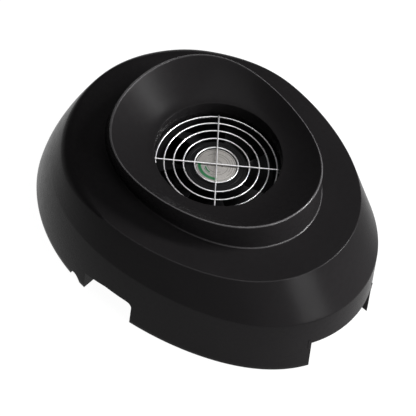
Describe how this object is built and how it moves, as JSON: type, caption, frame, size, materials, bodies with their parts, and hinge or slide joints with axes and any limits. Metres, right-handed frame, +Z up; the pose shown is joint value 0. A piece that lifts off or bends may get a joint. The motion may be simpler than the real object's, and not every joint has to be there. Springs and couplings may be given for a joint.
{
  "type": "nail dust collector",
  "caption": "Table-top nail dust collector: low oval black housing with a dished hand rest, a mains fan behind a chrome wire guard, skirt openings and a dust bag under the fan.",
  "frame": {"origin": "table surface under the middle of the footprint's box", "axes": "+Z up, +X along the long axis towards the end with the wide skirt opening, +Y towards the rear wall with the inlet and switch"},
  "size_m": [0.361, 0.2604, 0.1522],
  "materials": {
    "black_abs": "satin moulded ABS",
    "black_rubber": "matt",
    "foam": "closed-cell foam",
    "chrome_wire": "bright plated",
    "frame_black": "black coated die-cast aluminium",
    "fan_plastic": "glass-filled plastic",
    "plated_steel": "zinc plated",
    "label_silver": "printed metallised film",
    "steel": "ground",
    "lamination": "stacked laminations",
    "copper": "enamelled copper wire",
    "tinned_brass": "plain",
    "bag_cloth": "non-woven filter cloth",
    "elastic": "braided elastic cord",
    "switch_black": "smooth moulded",
    "lead_brown": "PVC",
    "lead_blue": "PVC",
    "lead_green": "PVC, green and yellow"
  },
  "bodies": {
    "casing": {"housing": "black_abs", "rubber_feet": "black_rubber", "fan_gasket": "foam", "guard_rings": "chrome_wire", "guard_spokes": "chrome_wire", "fan_frame": "frame_black", "motor_plate": "frame_black", "fan_screws": "plated_steel", "fan_washers": "plated_steel", "upper_bearing": "steel", "lower_bearing": "steel", "stator_core": "lamination", "stator_coils": "copper", "fan_terminals": "tinned_brass", "earth_screw": "plated_steel", "bag_ring": "fan_plastic", "bag_elastic": "elastic", "dust_bag": "bag_cloth", "switch_body": "switch_black", "switch_terminals": "tinned_brass", "inlet_body": "switch_black", "inlet_pins": "tinned_brass", "inlet_screws": "plated_steel", "inlet_nuts": "plated_steel", "lead_live": "lead_brown", "lead_switched": "lead_brown", "lead_neutral": "lead_blue", "lead_earth": "lead_green"},
    "rotor": {"impeller": "fan_plastic", "rotor_ring": "steel", "hub_label": "label_silver", "motor_shaft": "steel", "shaft_clip": "steel"},
    "rocker": {"switch_rocker": "switch_black"}
  },
  "joints": [
    {"name": "fan_spin", "type": "hinge", "parent": "casing", "child": "rotor", "pos_m": [0.0047, 0, 0.09], "axis": [0, 0, 1], "continuous": true},
    {"name": "rocker_tilt", "type": "hinge", "parent": "casing", "child": "rocker", "pos_m": [0.0263, 0.1243, 0.052], "axis": [-1, 0, 0], "range_deg": [0, 24]}
  ]
}
